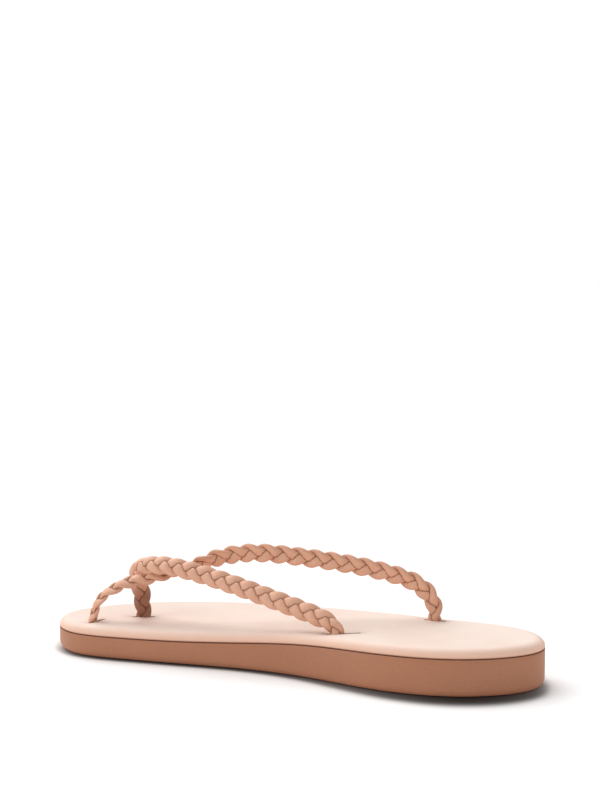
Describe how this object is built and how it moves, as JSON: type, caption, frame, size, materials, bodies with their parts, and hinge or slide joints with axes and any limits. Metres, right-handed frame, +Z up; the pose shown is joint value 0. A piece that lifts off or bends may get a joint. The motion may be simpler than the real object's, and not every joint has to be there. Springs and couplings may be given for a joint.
{
  "type": "flip flop",
  "caption": "Low flat flip flop with a padded footbed on a raised moulded sole, and braided straps that cross over the foot and hold the big toe.",
  "frame": {"origin": "on the floor, at the middle of the sole's length and width", "axes": "+Y towards the toe, +X towards the outer side of the right foot, +Z up"},
  "size_m": [0.0879, 0.2521, 0.0567],
  "materials": {
    "outsole_rubber": "satin moulded rubber with a fine speckle",
    "filler_foam": "closed-cell foam",
    "insole_board": "pressed fibreboard",
    "footbed_foam": "soft cushioning foam",
    "footbed_leather": "smooth natural leather, matte to satin",
    "strap_leather": "smooth nappa leather strands, satin",
    "strand_core": "twisted cotton cord",
    "clip_metal": "pressed steel",
    "tack_metal": "small flat-headed tacks"
  },
  "bodies": {
    "root": {"outsole": "outsole_rubber", "sole_filler": "filler_foam", "insole_board": "insole_board", "footbed_foam": "footbed_foam", "footbed_cover": "footbed_leather", "medial_strand_1": "strap_leather", "medial_core_1": "strand_core", "medial_strand_2": "strap_leather", "medial_core_2": "strand_core", "medial_strand_3": "strap_leather", "medial_core_3": "strand_core", "lateral_strand_1": "strap_leather", "lateral_core_1": "strand_core", "lateral_strand_2": "strap_leather", "lateral_core_2": "strand_core", "lateral_strand_3": "strap_leather", "lateral_core_3": "strand_core", "medial_rear_clip": "clip_metal", "lateral_rear_clip": "clip_metal", "thong_clip": "clip_metal", "medial_toe_clip": "clip_metal", "strap_tacks": "tack_metal"}
  },
  "joints": []
}
